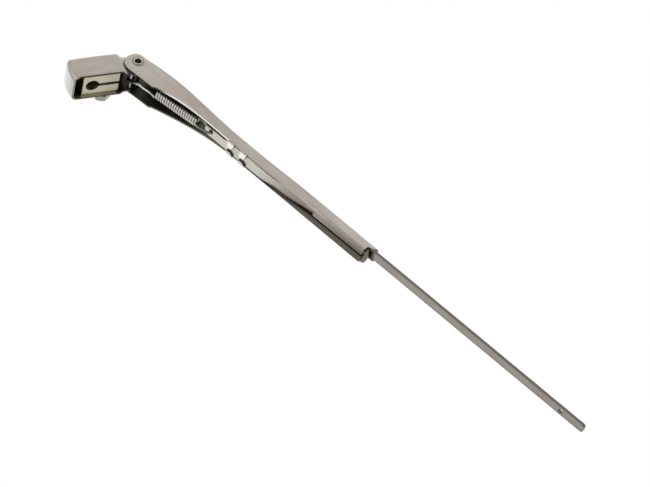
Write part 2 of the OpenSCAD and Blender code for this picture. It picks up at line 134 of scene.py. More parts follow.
world = bpy.data.worlds.new("studio")
scene.world = world
world.use_nodes = True
sky = world.node_tree
sky.nodes["Background"].inputs["Color"].default_value = (1, 1, 1, 1)
sky.links.new(seen_amount(sky, WORLD_FILL, 1.0), sky.nodes["Background"].inputs["Strength"])


def lamp(name, place, aim, size, watts):
    """Adds one broad square lamp at place that shines at aim."""
    data = bpy.data.lights.new(name, "AREA")
    data.size = size
    data.energy = watts
    made = bpy.data.objects.new(name, data)
    made.location = place
    made.rotation_euler = (Vector(aim) - Vector(place)).to_track_quat("-Z", "Y").to_euler()
    scene.collection.objects.link(made)


ARM_MIDDLE = (0.07, 0.0, -0.1)
lamp("lamp_left", (-1.3, -0.7, 0.1), ARM_MIDDLE, 0.9, 4)
lamp("lamp_above", (0.2, -0.7, 1.2), ARM_MIDDLE, 1.0, 1.5)
lamp("lamp_right", (1.2, -0.9, -0.8), ARM_MIDDLE, 0.9, 1.5)
lamp("lamp_behind", (-0.45, 1.0, 0.75), ARM_MIDDLE, 0.9, 2.5)

# Head shell
# One pressing of stainless sheet, 0.9 mm thick, open underneath. Outside it is satin with its grain
# along the head, and inside it is dull and painted dark as shade. The drawn tongue, whose cheeks
# carry the hinge, is painted paler outside as painted light.

# The fold of the arm, the middle of the rivet, and the ways along, across and out of both parts
FOLD = math.radians(62)
PIVOT = Vector((23.5, 0, 5.1)) * MM
ALONG_HEAD, ACROSS, UPRIGHT = Vector((1, 0, 0)), Vector((0, 1, 0)), Vector((0, 0, 1))
ALONG_ARM = Vector((math.cos(FOLD), 0, -math.sin(FOLD)))
ARM_OUT = Vector((math.sin(FOLD), 0, math.cos(FOLD)))
EAR_MIDDLE = PIVOT + (0.5 * ALONG_ARM - 1.2 * ARM_OUT) * MM

# How fine the metal's noises are along and across the grain, to the metre, and their detail
GRAIN, PATCHES, ROLL_MARKS = (25, 900, 4.0), (95, 240, 3.0), (1100, 60, 2.0)

# Where in their noise one patch goes over into the other, how much the grain and the patches change
# the roughness, and how strong and deep the grain's bump is
PATCH_EDGE, GRAIN_ROUGH, PATCH_ROUGH = (0.35, 0.65), 0.16, 0.12
BUMP_SHARE, BUMP_DEPTH = 0.1, 0.1 * MM

# What counts as one place, one plane, a corner to be rounded and an edge to be shaded sharp
SAME_PLACE, SAME_PLANE = 0.001 * MM, math.radians(0.05)
SHARP_CORNER, SHADED_SHARP = math.radians(30), math.radians(35)

# How far off a face the search for another wall starts, in millimetres
OFF_THE_FACE = 0.05


class Value:
    """A number or vector in a material that takes part in plain arithmetic."""

    def __init__(self, tree, socket):
        self.tree = tree
        self.socket = socket

    def _put(self, value, target):
        if isinstance(value, Value):
            self.tree.links.new(value.socket, target)
        else:
            target.default_value = value

    def node(self, kind, settings=None, output=0, **sockets):
        """Adds a node of this kind, with its settings first and then its sockets' values."""
        made = self.tree.nodes.new(kind)
        for key, value in (settings or {}).items():
            setattr(made, key, value)
        for key, value in sockets.items():
            self._put(value, made.inputs[int(key[1:]) if key[1:].isdigit() else key.replace("_", " ")])
        return Value(self.tree, made.outputs[output])

    def _math(self, operation, a, b):
        return self.node("ShaderNodeMath", {"operation": operation}, i0=a, i1=b)

    def __add__(self, other):
        return self._math("ADD", self, other)

    def __mul__(self, other):
        return self._math("MULTIPLY", self, other)

    def __sub__(self, other):
        return self._math("SUBTRACT", self, other)

    def __rsub__(self, other):
        return self._math("SUBTRACT", other, self)

    def __pow__(self, other):
        return self._math("POWER", self, other)

    __radd__ = __add__
    __rmul__ = __mul__

    def dot(self, direction):
        """How far this vector goes in one direction."""
        return self.node("ShaderNodeVectorMath", {"operation": "DOT_PRODUCT"}, 1, i0=self, i1=direction)

    def rise(self, start, end):
        """Goes smoothly from 0 to 1 while this number goes from start to end."""
        return self.node("ShaderNodeMapRange", {"interpolation_type": "SMOOTHSTEP"}, Value=self,
                         From_Min=start, From_Max=end, To_Min=0.0, To_Max=1.0)

    def even_rise(self, start, end):
        """Goes evenly from 0 to 1 while this number goes from start to end."""
        return self.node("ShaderNodeMapRange", Value=self, From_Min=start, From_Max=end)

    def fall(self, start, end):
        """Goes smoothly from 1 to 0 while this number goes from start to end."""
        return 1.0 - self.rise(start, end)

    def mix(self, a, b):
        """The colour a where this share is 0 and b where it is 1; a plain colour is a triple."""
        a, b = [(*colour, 1) if isinstance(colour, tuple) else colour for colour in (a, b)]
        return self.node("ShaderNodeMix", {"data_type": "RGBA"}, 2, i0=self, i6=a, i7=b)


def as_rolled(place, colour):
    """The plain colour, with no other finish over it."""
    return colour


def steel(name, warm, cool, roughness, along=ALONG_ARM, grain=0.1, hatch=0.0, stain=0.15,
          finish=as_rolled):
    """Metal with a fine grain along one direction, in soft patches of two close colours.

    grain, hatch and stain say how strong the grain, the rolling marks across it and the patches
    are. finish changes the colour by place.
    """
    material = bpy.data.materials.new(name)
    material.use_nodes = True
    tree = material.node_tree
    shader = tree.nodes["Principled BSDF"]
    place = Value(tree, tree.nodes.new("ShaderNodeTexCoord").outputs["Object"])
    out = along.cross(ACROSS)

    def noise(lengthways, sideways, detail):
        """Noise with one scale along the grain and another across it, both to the metre."""
        stretched = place.node("ShaderNodeCombineXYZ", X=place.dot(along) * lengthways,
                               Y=place.dot(ACROSS) * sideways, Z=place.dot(out) * sideways)
        return place.node("ShaderNodeTexNoise", Vector=stretched, Scale=1.0, Detail=detail)

    streaks, clouds = noise(*GRAIN), noise(*PATCHES)
    tone = 1.0 + (streaks - 0.5) * (2 * grain) + (clouds - 0.5) * (2 * stain)
    if hatch:
        tone = tone + (noise(*ROLL_MARKS) - 0.5) * (2 * hatch)
    colour = finish(place, clouds.rise(*PATCH_EDGE).mix(warm, cool))
    shade = place.node("ShaderNodeVectorMath", {"operation": "SCALE"}, i0=colour, Scale=tone)
    tree.links.new(shade.socket, shader.inputs["Base Color"])
    rough = (streaks - 0.5) * GRAIN_ROUGH + (clouds - 0.5) * PATCH_ROUGH + roughness
    tree.links.new(rough.socket, shader.inputs["Roughness"])
    bump = place.node("ShaderNodeBump", Strength=BUMP_SHARE, Distance=BUMP_DEPTH, Height=streaks)
    tree.links.new(bump.socket, shader.inputs["Normal"])
    shader.inputs["Metallic"].default_value = 1.0
    return material


def finished(node, name, body, materials, pick=None, edge_mm=0, edge_where=None):
    """A merged, smooth copy of a solid from the frame that takes its place.

    pick says which of the materials each face has. Sharp edges that edge_where accepts are rounded.
    """
    mesh = bpy.data.meshes.new(name)
    shape = bmesh.new()
    shape.from_mesh(nodes[node].data)
    bmesh.ops.remove_doubles(shape, verts=shape.verts, dist=SAME_PLACE)
    bmesh.ops.dissolve_limit(shape, angle_limit=SAME_PLANE, verts=shape.verts, edges=shape.edges)
    if edge_mm:
        sharp = [e for e in shape.edges if e.calc_face_angle(0) > SHARP_CORNER
                 and (edge_where is None or edge_where((e.verts[0].co + e.verts[1].co) / 2))]
        bmesh.ops.bevel(shape, geom=sharp, offset=edge_mm * MM, segments=2, profile=0.5,
                        affect="EDGES", clamp_overlap=True)
    bmesh.ops.triangulate(shape, faces=[f for f in shape.faces if len(f.verts) > 4])
    shape.normal_update()
    walls = BVHTree.FromBMesh(shape)
    for face in shape.faces:
        face.smooth = True
        face.material_index = pick(face, walls) if pick else 0
    for edge in shape.edges:
        edge.smooth = edge.calc_face_angle(0) < SHADED_SHARP
    shape.to_mesh(mesh)
    shape.free()
    for material in materials:
        mesh.materials.append(material)
    made = bpy.data.objects.new(name, mesh)
    scene.collection.objects.link(made)
    made.modifiers.new("even_shading", "WEIGHTED_NORMAL").keep_sharp = True
    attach(made, body)
    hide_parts(node)
    return made


def faces_own_wall(face, walls, reach_mm):
    """Whether the way out from this face meets another wall of the same piece within reach."""
    start = face.calc_center_median() + face.normal * OFF_THE_FACE * MM
    return walls.ray_cast(start, face.normal, reach_mm * MM)[0] is not None


def reach_from(place, middle):
    """How far a place is, seen from the side, from a middle given in metres, in millimetres."""
    back = place.dot(ALONG_HEAD) * 1000 - middle.x / MM
    rise = place.dot(UPRIGHT) * 1000 - middle.z / MM
    return (back * back + rise * rise) ** 0.5


# Each pair is where a finish comes in or goes out, in millimetres along the head or up it
CLOSED_END, LOWER_EDGE, LOWER_SHADE_IN = (-9.4, -8.4), (-0.75, 0.0), (-8, -6.5)
LIT_BY_RIM, LIT_OUT, TONGUE_IN = (0.4, 2.0), (11.5, 13.5), (12.5, 15)

# Where the painted shadow by the ears ends, out from their middle, and between which heights it
# spreads by how much
EAR_SHADOW_OUT, SPREADS_BELOW, SPREAD = (6.15, 6.5), (-1.5, 3.0), 1.5

# How strong the painted shade is along the lower edge and the painted shadow by the ears
LOWER_EDGE_SHADE, EAR_SHADOW = 0.7, 0.85


def head_finish(place, colour):
    """Painted reflection: a cooler tint on the closed end. Painted shade along the sides' lower edge.
    """
    along, height = place.dot(ALONG_HEAD) * 1000, place.dot(UPRIGHT) * 1000
    # Painted shade along the lower edge of the sides
    low_edge = height.fall(*LOWER_EDGE) * along.rise(*LOWER_SHADE_IN) * LOWER_EDGE_SHADE
    return low_edge.mix(along.fall(*CLOSED_END).mix(colour, END_REFLECTION_TINT), SHADE_DARK)


def tongue_finish(place, colour):
    """Painted shadow along the ears' round ends, spreading towards the spring."""
    low_spread = (place.dot(UPRIGHT) * 1000).fall(*SPREADS_BELOW) * SPREAD
    beside_ear = (reach_from(place, EAR_MIDDLE) - low_spread).fall(*EAR_SHADOW_OUT)
    return (beside_ear * EAR_SHADOW).mix(colour, SHADE_DARK)


def inside_finish(place, colour):
    """Painted light towards the rim beside the block, and painted shade, nearly black, inside the
    tongue.
    """
    along, height = place.dot(ALONG_HEAD) * 1000, place.dot(UPRIGHT) * 1000
    # The pale share is painted light where light comes in by the open rim
    pale = height.fall(*LIT_BY_RIM) * along.fall(*LIT_OUT)
    return along.rise(*TONGUE_IN).mix(pale.mix(colour, RIM_PAINTED_LIGHT), SHADE_DARK)


# Where the near rim painted dark as shadow starts, how high the roof's underside is, where the tongue
# starts, and how far away another wall of the shell may be
RIM_FROM, ROOF, STEP, HEAD_REACH = -7, 5, 14.1, 26

# From what share of its normal a face counts as facing down or sideways
FACES_DOWN, FACES_SIDEWAYS = 0.5, 0.4


def shell_side(face, walls):
    """0 outside, 1 inside in painted shade, 2 on the near rim in painted shadow, 3 on the tongue in
    painted light.
    """
    middle = face.calc_center_median()
    looks_down = face.normal.z < -FACES_DOWN
    if looks_down and middle.z < 0 and middle.y < 0 and middle.x > RIM_FROM * MM:
        return 2
    if (looks_down and middle.z > ROOF * MM) or faces_own_wall(face, walls, HEAD_REACH):
        return 1
    return 3 if middle.x > STEP * MM and abs(face.normal.y) > FACES_SIDEWAYS else 0


HEAD_WARM, HEAD_COOL = (0.36, 0.315, 0.28), (0.36, 0.345, 0.315)
# The inside's dark colours are painted shade, inside the shell and on the block's slot walls
SHELL_SHADE_WARM, SHELL_SHADE_COOL = (0.1, 0.083, 0.07), (0.11, 0.1, 0.082)
# Painted light on the inside by the open rim
RIM_PAINTED_LIGHT = (0.45, 0.43, 0.32)
# The tongue's pale colour is painted light, and the closed end's cooler tint a painted reflection
TONGUE_PAINTED_LIGHT, END_REFLECTION_TINT = (0.68, 0.64, 0.6), (0.345, 0.34, 0.308)
# The near-black that the painted shade and painted shadows all over the part are mixed towards
SHADE_DARK = (0.05, 0.045, 0.04)
satin_head = steel("satin_head", HEAD_WARM, HEAD_COOL, 0.38, along=ALONG_HEAD, grain=0.12,
                   finish=head_finish)
dark_inside = steel("dark_inside", SHELL_SHADE_WARM, SHELL_SHADE_COOL, 0.5, grain=0.05, stain=0.3,
                    finish=inside_finish)
# The near rim's colour is painted shadow
grimy_rim = steel("grimy_rim", SHADE_DARK, SHADE_DARK, 0.5, grain=0.05, stain=0.3)
# The tongue is painted pale as light, with painted shadow by the ears
drawn_tongue = steel("drawn_tongue", TONGUE_PAINTED_LIGHT, TONGUE_PAINTED_LIGHT, 0.8, along=ALONG_HEAD,
                     finish=tongue_finish)
finished("head_shell", "head_pressing", "head",
         [satin_head, dark_inside, grimy_rim, drawn_tongue], shell_side)

# Clamp block
# A block of plated metal inside the shell, bored and serrated for the spindle, and split by a slot
# that the clamp screw closes. It is duller and yellower than the sheet.
BLOCK_WARM, BLOCK_COOL = (0.7, 0.65, 0.47), (0.68, 0.66, 0.52)

# How far out the bore's serrations come, and how far away the other wall of the slot may be
BORE_REACH, SLOT_REACH = 4.2, 7

# Where the painted shadow on the slot's lips ends to either side and starts along the head, and
# where the block gets darker and by how much
SLOT_LIPS, SLOT_IN, DARKER_IN, DARKER_BY = (0.65, 1.15), (2, 3.5), (3, 12), 0.16


def off_the_bore(place):
    """Whether a place is clear of the bore and its serrations."""
    return math.hypot(place.x, place.y) > BORE_REACH * MM


def beside(off_line, near, far):
    """1 within near of a line and 0 beyond far, from how far off the line a place is."""
    return (off_line * off_line).fall(near ** 2, far ** 2)


def block_finish(place, colour):
    """Painted shadow along both lips of the slot, and darker towards the arm."""
    across, along = place.dot(ACROSS) * 1000, place.dot(ALONG_HEAD) * 1000
    colour = (along.rise(*DARKER_IN) * DARKER_BY).mix(colour, SHADE_DARK)
    return (beside(across, *SLOT_LIPS) * along.rise(*SLOT_IN)).mix(colour, SHADE_DARK)


def block_side(face, walls):
    """0 for the block's faces and 1 for the walls of its slot."""
    middle = face.calc_center_median()
    # The slot's walls take the inside's painted shade
    return 1 if off_the_bore(middle) and faces_own_wall(face, walls, SLOT_REACH) else 0


finished("clamp_block", "plated_block", "head",
         [steel("plated_block", BLOCK_WARM, BLOCK_COOL, 0.42, along=ALONG_HEAD, stain=0.1,
                finish=block_finish),
          dark_inside],
         block_side, edge_mm=0.12, edge_where=off_the_bore)

# Clamp screw
# A plated hexagon screw. Its head bears on the shell's far wall and its shank crosses the slot.
# It was left with a corner of the hexagon down.
SCREW_WARM, SCREW_COOL = (0.42, 0.4, 0.35), (0.4, 0.4, 0.36)
SCREW_LEFT_AT = math.radians(22)
screw = finished("clamp_screw", "plated_screw", "screw",
                 [steel("plated_screw", SCREW_WARM, SCREW_COOL, 0.35, along=ALONG_HEAD, grain=0.03)],
                 edge_mm=0.12)
screw_low, screw_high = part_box("clamp_screw")
screw_middle = (screw_low + screw_high) / 2
screw.data.transform(Matrix.Translation(screw_middle) @ Matrix.Rotation(SCREW_LEFT_AT, 4, "Y")
                     @ Matrix.Translation(-screw_middle))

# Hinge
# A tubular rivet, rolled over outside both ears, and the pin across the tongue that holds the
# spring's hook. Both are plain turned steel.
RIVET_WARM, RIVET_COOL = (0.42, 0.38, 0.33), (0.42, 0.41, 0.38)

# Where the painted shadow ring on the rolled flange comes in and goes out, from the middle of the rivet
RING_IN, RING_OUT = (2.25, 2.45), (2.6, 2.75)


def rim_ring_shadow(place, colour):
    """A painted shadow ring just inside the edge of the rolled flange."""
    reach = reach_from(place, PIVOT)
    return (reach.rise(*RING_IN) * reach.fall(*RING_OUT)).mix(colour, SHADE_DARK)


finished("pivot_rivet", "tubular_rivet", "arm",
         [steel("rivet_steel", RIVET_WARM, RIVET_COOL, 0.3, along=ALONG_HEAD, grain=0.03,
                finish=rim_ring_shadow)],
         edge_mm=0.08)
finished("hook_pin", "hook_cross_pin", "head",
         [steel("pin_steel", RIVET_WARM, RIVET_COOL, 0.3, along=ALONG_HEAD, grain=0.03)], edge_mm=0.1)

# Arm channel
# One folded piece of stainless sheet with its grain along the arm: ears, skirts, a waist with two
# pairs of tabs, and an end part closed by two flanges that meet at a seam. It is satin outside and
# painted dark inside as shade, the flanges are painted olive as shade, and the sheared edge by the
# spring is painted bright as a highlight.
ARM_WARM, ARM_COOL = (0.4, 0.345, 0.305), (0.385, 0.365, 0.33)
WALL_PALER, FLANGE_SHADE_OLIVE = (0.465, 0.42, 0.38), (0.105, 0.094, 0.074)
# The bright edge colour is a painted highlight and the far edge colour painted shade
EDGE_HIGHLIGHT, EDGE_FAR_SHADE, EDGE_BEIGE = (0.92, 0.91, 0.88), (0.56, 0.56, 0.5), (0.55, 0.51, 0.4)
# The edge olive is painted shade, and the two paler olives painted light inside the channel
EDGE_SHADE_OLIVE, SHALLOW_PAINTED_LIGHT, INSIDE_PAINTED_LIGHT = (0.19, 0.19, 0.15), (0.34, 0.34, 0.26), (0.85, 0.85, 0.7)
# The inside's dark colours are painted shade
ARM_SHADE_WARM, ARM_SHADE_COOL = (0.1, 0.092, 0.072), (0.125, 0.125, 0.092)

# Along the arm: where the ears end, the tabs start and the waist ends, where the flanges start and
# the channel ends, and how far across the seam drifts on its way
EARS_END, TABS_START, WAIST_END = 16.5, 60.5, 74.2
FLANGE_START, MOUTH, SEAM_SHIFT = 116.3, 147.4, 0.5

# The lower edge of the skirts: how far out it is by the tabs, where it curves along the arm, and how
# far and how steeply it drops towards the ears
EDGE_OUT, EDGE_CURVE, EDGE_DROP, EDGE_POWER = 0.8, (17, 64), 6.2, 2.4


def arm_place(place):
    """A vector in the arm's own frame, from the hinge: along, across and out, in millimetres."""
    return [place.dot(axis) * 1000 - PIVOT.dot(axis) / MM for axis in (ALONG_ARM, ACROSS, ARM_OUT)]


# Each pair is where a finish comes in or goes out, in millimetres along the arm from the hinge
WALL_PALER_IN, HIGHLIGHT_IN, HIGHLIGHT_OUT = (105, 138), (22, 28), (32, 48)
OLIVE_IN, OLIVE_DEEPENS, FOLD_OLIVE_IN, FAR_OLIVE_IN = (98, 112), (108, 142), (114, 126), (78, 90)
SEAM_SHADE_IN, FAR_RIM_IN, FAR_RIM_OUT = (112, 114), (72.5, 74), (94, 108)

# Each pair here is across the arm, out from it or out from the middle of the rivet
NEAR_SIDE, FAR_SIDE, TOWARDS_SEAM, SEAM_LIPS = (-1.0, 0.0), (-0.5, 0.0), (-4.5, -2.0), (0.55, 0.95)
HIGHLIGHT_BAND, LOW, FOLD_IN, FOLD_OUT = (0.0, 0.6), (0.9, 2.6), (0.8, 1.1), (1.3, 2.1)
RIVET_SHADOW_IN, RIVET_SHADOW_OUT = (2.7, 2.85), (2.95, 3.2)

# How strong each of them is. The olive painted shade is faint where it starts and deep at the
# mouth, and weaker by the near wall than by the seam
RIVET_SHADOW, SEAM_SHADE, FAR_RIM_SHADE, HIGHLIGHT, FOLD_OLIVE = 0.35, 0.8, 0.9, 0.6, 0.25
OLIVE_FAINT, OLIVE_DEEP, OLIVE_BY_WALL, OLIVE_BY_SEAM = 0.18, 0.8, 0.6, 1.05


def channel_finish(place, colour):
    """Painted shadow by the rivet, seam and far rim, a painted highlight edge, and olive painted shade.
    """
    along, across, out = arm_place(place)
    # The walls get lighter towards the mouth
    colour = along.rise(*WALL_PALER_IN).mix(colour, WALL_PALER)
    reach = reach_from(place, PIVOT)
    # Painted shadow of the ear round the rivet
    round_rivet = reach.rise(*RIVET_SHADOW_IN) * reach.fall(*RIVET_SHADOW_OUT) * RIVET_SHADOW
    left = 1.0 - along.even_rise(*EDGE_CURVE)
    above_edge = out - EDGE_OUT + left ** EDGE_POWER * EDGE_DROP
    # A painted highlight along the skirts' lower edge
    edge_highlight = (above_edge.fall(*HIGHLIGHT_BAND) * along.rise(*HIGHLIGHT_IN) * along.fall(*HIGHLIGHT_OUT)
                 * across.fall(*NEAR_SIDE) * HIGHLIGHT)
    far_side, low = across.rise(*FAR_SIDE), out.fall(*LOW)
    deepening = along.rise(*OLIVE_DEEPENS) * (OLIVE_DEEP - OLIVE_FAINT) + OLIVE_FAINT
    by_the_seam = across.rise(*TOWARDS_SEAM) * (OLIVE_BY_SEAM - OLIVE_BY_WALL) + OLIVE_BY_WALL
    near_share = deepening * along.rise(*OLIVE_IN) * by_the_seam
    # The fold's olive share is painted shade over a highlight line
    fold = out.rise(*FOLD_IN) * out.fall(*FOLD_OUT) * along.rise(*FOLD_OLIVE_IN) * FOLD_OLIVE
    # The olive share is painted shade on the flanges and the fold
    olive = (1.0 - far_side) * (low * near_share + fold) + far_side * low * along.rise(*FAR_OLIVE_IN)
    off_seam = across + (along - FLANGE_START) * (SEAM_SHIFT / (MOUTH - FLANGE_START))
    # Painted shade along the lips of the seam's dark gap
    seam_lips = beside(off_seam, *SEAM_LIPS) * along.rise(*SEAM_SHADE_IN) * low * SEAM_SHADE
    # Painted shade on the far wall's low rim
    far_rim = far_side * low * along.rise(*FAR_RIM_IN) * along.fall(*FAR_RIM_OUT) * FAR_RIM_SHADE
    colour = olive.mix(edge_highlight.mix(colour, EDGE_HIGHLIGHT), FLANGE_SHADE_OLIVE)
    return (round_rivet + seam_lips + far_rim).mix(colour, SHADE_DARK)


# Along the arm, and then across it and out from it
BY_TABS_IN, EDGE_WHITE_IN, END_EDGES_IN = (59, 60.5), (19, 24), (90, 110)
FAR_EDGE, MOUTH_TOP = (-0.5, 0.5), (2.5, 3.5)


def edge_finish(place, colour):
    """Painted highlight on the near side, painted shade on the far one and by the hinge, beige at the
    mouth.
    """
    along, across, out = arm_place(place)
    far_colour = along.rise(*BY_TABS_IN).mix(EDGE_SHADE_OLIVE, EDGE_FAR_SHADE)
    colour = along.rise(*EDGE_WHITE_IN).mix(ARM_SHADE_WARM, colour)
    colour = across.rise(*FAR_EDGE).mix(colour, far_colour)
    return along.rise(*END_EDGES_IN).mix(colour, out.rise(*MOUTH_TOP).mix(EDGE_BEIGE, EDGE_SHADE_OLIVE))


# Along the arm, and then out from it
SHALLOW_IN, SHALLOW_OUT, LIT_INSIDE_IN, LIT_INSIDE_OUT = (22, 46), (80, 100), (37, 43), (55, 60)
HINGE_SHADE_OUT, HINGE_SHADE = (4, 14), 0.7
LIT_INSIDE_ABOVE, UNDER_TABS = (1.8, 3.2), (0.9, 1.3)


def channel_inside_finish(place, colour):
    """Painted shade by the hinge and under the tabs, and painted light where the channel gets shallow.
    """
    along, _, out = arm_place(place)
    # Painted light inside where the channel is shallow and open
    shallow = along.rise(*SHALLOW_IN) * along.fall(*SHALLOW_OUT)
    lit_inside = along.rise(*LIT_INSIDE_IN) * along.fall(*LIT_INSIDE_OUT) * out.rise(*LIT_INSIDE_ABOVE)
    # Painted shade by the hinge and under the tabs
    by_hinge = along.fall(*HINGE_SHADE_OUT) * HINGE_SHADE
    shaded = by_hinge + along.rise(*BY_TABS_IN) * out.fall(*UNDER_TABS)
    colour = shallow.mix(colour, SHALLOW_PAINTED_LIGHT)
    return shaded.mix(lit_inside.mix(colour, INSIDE_PAINTED_LIGHT), SHADE_DARK)


# How far out the edge beside the spring, the tabs and the web's inside are, how wide half of a tab
# is, and how far away another wall of the channel may be
SPRING_EDGE_OUT, TAB_OUT, WEB_OUT, TAB_HALF_WIDTH, CHANNEL_REACH = 1.2, 1.0, 3, 3.7, 16

# From what share of its normal a face is a lower edge or an end's edge, and up to which it is a rim
LOWER_EDGE_FROM, END_EDGE_FROM, RIM_UP_TO = 0.35, 0.7, 0.3


def channel_side(face, walls):
    """0 outside, 1 inside and rims, in painted shade, and 2 sheared edges and tabs, painted bright."""
    middle = face.calc_center_median() - PIVOT
    along, out = middle.dot(ALONG_ARM) / MM, middle.dot(ARM_OUT) / MM
    facing_out = face.normal.dot(ARM_OUT)
    faces_down = facing_out < -LOWER_EDGE_FROM
    # The ears' rims by the hinge take the inside's painted shade
    if along < EARS_END and abs(face.normal.y) < RIM_UP_TO and facing_out < RIM_UP_TO:
        return 1
    # The lower edge beside the spring takes the edges' painted highlight
    if along < TABS_START and faces_down and out < SPRING_EDGE_OUT:
        return 2
    # The tabs take the painted highlight below and the inside's painted shade elsewhere
    if TABS_START < along < WAIST_END and out < TAB_OUT and abs(middle.y) < TAB_HALF_WIDTH * MM:
        return 2 if faces_down else 1
    if along > WAIST_END and face.normal.dot(ALONG_ARM) > END_EDGE_FROM:
        return 2
    # Faces looking into the channel take the inside's painted shade
    looks_in = faces_down and out > WEB_OUT
    return 1 if looks_in or faces_own_wall(face, walls, CHANNEL_REACH) else 0


finished("arm_channel", "folded_channel", "arm",
         [steel("satin_arm", ARM_WARM, ARM_COOL, 0.38, finish=channel_finish),
          steel("arm_inside", ARM_SHADE_WARM, ARM_SHADE_COOL, 0.5, stain=0.25,
                finish=channel_inside_finish),
          steel("sheared_edge", EDGE_HIGHLIGHT, EDGE_HIGHLIGHT, 0.3, grain=0.03, stain=0.03,
                finish=edge_finish)],
         channel_side)

# Anchor strip
# Bright rolled strip, 1 mm thick, held by the tabs. It dips to the bar and ends in the channel's
# mouth, and the spring's tail hooks through the hole at its other end.
STRIP_WARM, STRIP_COOL = (0.62, 0.59, 0.51), (0.56, 0.56, 0.5)
# The satin and dull colours are painted shade where the strip dips into the channel
STRIP_DIP_SHADE, STRIP_END_SHADE = (0.34, 0.3, 0.262), (0.2, 0.185, 0.15)

# Where the two pairs of tabs start along the arm, how far past that their edge shades the strip, and
# how much the edge slants
TAB_PLACES, TAB_SHADE, TAB_SLOPE = (60.9, 68.9), 2.35, 0.38

# Where the finishes come in and go out along the arm and across it
DIP_SHADE_IN, END_SHADE_IN = (78, 104), (125, 140)
BY_WALL, BY_WALL_OUT, BY_GAP, BY_GAP_OUT = (-2.25, -1.85), (58, 60), (-3.1, -2.8), (84, 98)
BY_TAB_IN, BY_TAB_OUT, BY_TAB_NEAR = (-0.5, -0.3), (0.4, 0.7), (-1.2, -0.4)


def strip_finish(place, colour):
    """Painted shade where it dips to the bar and at its end, painted shadow by the wall, gap and tabs.
    """
    along, across, _ = arm_place(place)
    colour = along.rise(*DIP_SHADE_IN).mix(colour, STRIP_DIP_SHADE)
    colour = along.rise(*END_SHADE_IN).mix(colour, STRIP_END_SHADE)
    # Painted shadow in the gap by the near wall
    colour = (across.fall(*BY_WALL) * along.fall(*BY_WALL_OUT)).mix(colour, SHADE_DARK)
    for start in TAB_PLACES:
        # Painted shadow along each tab's slanted edge
        past_slant = along + across * TAB_SLOPE - (start + TAB_SHADE)
        by_tab = past_slant.rise(*BY_TAB_IN) * past_slant.fall(*BY_TAB_OUT)
        colour = (by_tab * across.fall(*BY_TAB_NEAR)).mix(colour, SHADE_DARK)
    # Painted shadow along the strip's near edge
    return (across.fall(*BY_GAP) * along.fall(*BY_GAP_OUT)).mix(colour, SHADE_DARK)


finished("anchor_strip", "rolled_strip", "arm",
         [steel("bright_strip", STRIP_WARM, STRIP_COOL, 0.33, grain=0.06, hatch=0.06,
                finish=strip_finish)], edge_mm=0.1)

# Blade bar
# Drawn flat bar, greyer than the sheet, gripped in the channel's mouth. Its narrow sides are painted
# dark as shade. The blade pushes on to it.
BAR_WARM, BAR_COOL = (0.36, 0.32, 0.272), (0.35, 0.34, 0.292)
BAR_SIDE_SHADE = (0.15, 0.136, 0.12)

# Where its two long edges get painted shade, across the arm, and by how much, and where the painted
# shadow at the mouth ends
FAR_EDGE_IN, NEAR_EDGE_OUT, FAR_EDGE_DARK, NEAR_EDGE_DARK = (-0.5, 0.3), (-4.1, -3.4), 0.65, 0.3
MOUTH_SHADOW_OUT = (MOUTH + 2.6, MOUTH + 5.2)


def bar_finish(place, colour):
    """Painted shade along both long edges, and painted shadow where the bar comes out of the mouth."""
    along, across, _ = arm_place(place)
    edges = across.rise(*FAR_EDGE_IN) * FAR_EDGE_DARK + across.fall(*NEAR_EDGE_OUT) * NEAR_EDGE_DARK
    return along.fall(*MOUTH_SHADOW_OUT).mix(edges.mix(colour, BAR_SIDE_SHADE), SHADE_DARK)


def bar_side(face, walls):
    """0 for the two wide faces and 1 for the narrow sides and their bevels."""
    return 1 if abs(face.normal.y) > FACES_SIDEWAYS else 0


finished("blade_bar", "drawn_bar", "arm",
         [steel("drawn_bar", BAR_WARM, BAR_COOL, 0.42, grain=0.14, stain=0.2, finish=bar_finish),
          steel("bar_side", BAR_SIDE_SHADE, BAR_SIDE_SHADE, 0.45)],
         bar_side, edge_mm=0.08)

# Tension spring
# Stainless wire, 1.2 mm, wound close: a hook round the pin, eighteen turns, and a tail that goes
# up through the strip's hole.
WIRE = 1.2
COIL_OUTSIDE = 5.8
TURNS = 18
HOOK_PIN = 2.2
HOOK_BACK, HOOK_DOWN, HOOK_PLAY = 4.0, 4.4, 0.05
COIL_FROM, COIL_TO = Vector((16, 0, -1.85)), Vector((40.9, 0, 0.8))
STRIP_HOLE = Vector((49.7, 0, 0.82))
STEPS_A_TURN, STEPS_A_BEND, WIRE_SIDES = 40, 8, 14
SPRING_WARM, SPRING_COOL = (0.56, 0.54, 0.49), (0.56, 0.56, 0.53)

# The hook's angles round the pin, in degrees
HOOK_ANGLES = range(40, 266, 9)


def in_arm(point):
    """A place given along, across and out from the arm in millimetres, in the part's own frame."""
    along, across, out = point
    return PIVOT + (along * ALONG_ARM + across * ACROSS + out * ARM_OUT) * MM


def through(a, b, c, d, t):
    """The place at t between b and c on a smooth curve through all four."""
    return 0.5 * (2 * b + (c - a) * t + (2 * a - 5 * b + 4 * c - d) * t ** 2
                  + (3 * b - a - 3 * c + d) * t ** 3)


def smooth(points, steps):
    """Places along a smooth curve, leaving out its first and last guides."""
    return [through(*points[k:k + 4], i / steps) for k in range(len(points) - 3)
            for i in range(steps)]


